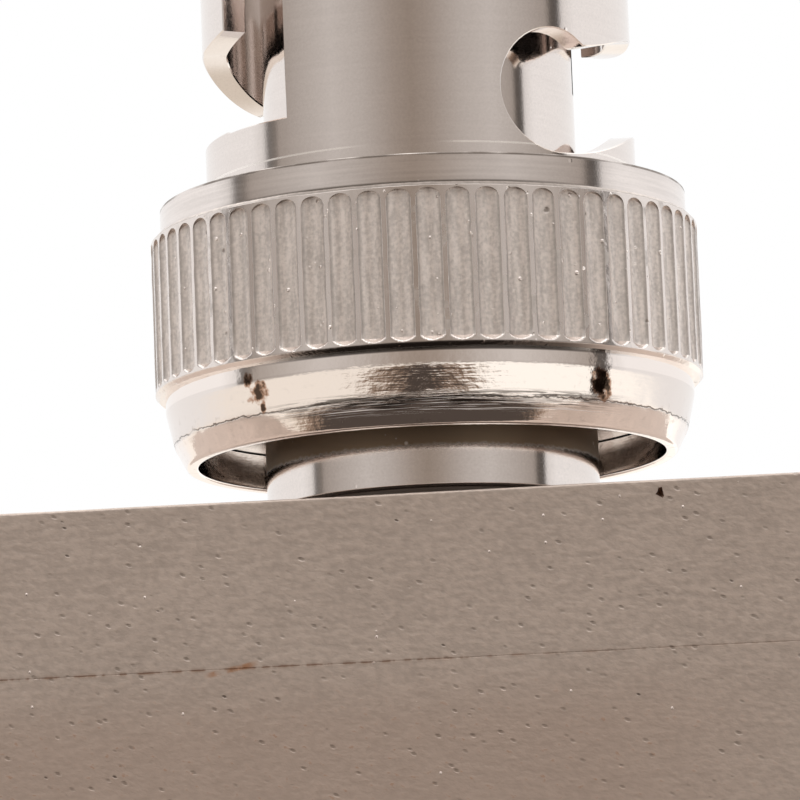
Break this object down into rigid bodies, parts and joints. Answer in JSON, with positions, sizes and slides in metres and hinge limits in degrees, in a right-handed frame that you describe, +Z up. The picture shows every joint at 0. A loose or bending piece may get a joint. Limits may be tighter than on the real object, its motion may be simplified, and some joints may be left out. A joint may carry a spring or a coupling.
{
  "type": "bnc y splitter",
  "caption": "Coaxial Y splitter: a bayonet plug with a fluted coupling sleeve on a nickel-plated block, with parallel bayonet jacks on the opposite side.",
  "frame": {"origin": "middle of the surface that it stands on, on its two jack mouths, under the plug's axis", "axes": "+Z up along the plug's axis, out of the plug's front; +X to the right jack; -Y towards the block's front face"},
  "size_m": [0.03, 0.0142, 0.0399],
  "materials": {
    "turned_nickel": "nickel-plated, polished",
    "cast_nickel": "nickel-plated casting, satin",
    "spring_steel": "satin",
    "gold_plate": "gold-plated, polished",
    "white_insulator": "matte",
    "soft_ring": "matte"
  },
  "bodies": {
    "base": {"block_base": "cast_nickel", "block_cap": "cast_nickel", "bridge_bar": "gold_plate", "plug_body": "turned_nickel", "plug_gasket": "soft_ring", "plug_insulator": "white_insulator", "plug_pin": "gold_plate", "wave_spring": "spring_steel", "jack_shell_left": "turned_nickel", "jack_shell_right": "turned_nickel", "jack_insulator_left": "white_insulator", "jack_insulator_right": "white_insulator", "jack_contact_left": "gold_plate", "jack_contact_right": "gold_plate"},
    "thrust_ring": {"thrust_washer": "turned_nickel"},
    "coupling": {"coupling_sleeve": "turned_nickel"}
  },
  "joints": [
    {"name": "sleeve_slide", "type": "slide", "parent": "base", "child": "thrust_ring", "axis": [0, 0, 1], "range_m": [0, 0.0007], "stiffness_N_per_m": 6000, "springref_m": -0.001, "deforming": ["wave_spring"]},
    {"name": "sleeve_spin", "type": "hinge", "parent": "thrust_ring", "child": "coupling", "pos_m": [0, 0, 0.0254], "axis": [0, 0, 1], "continuous": true}
  ]
}
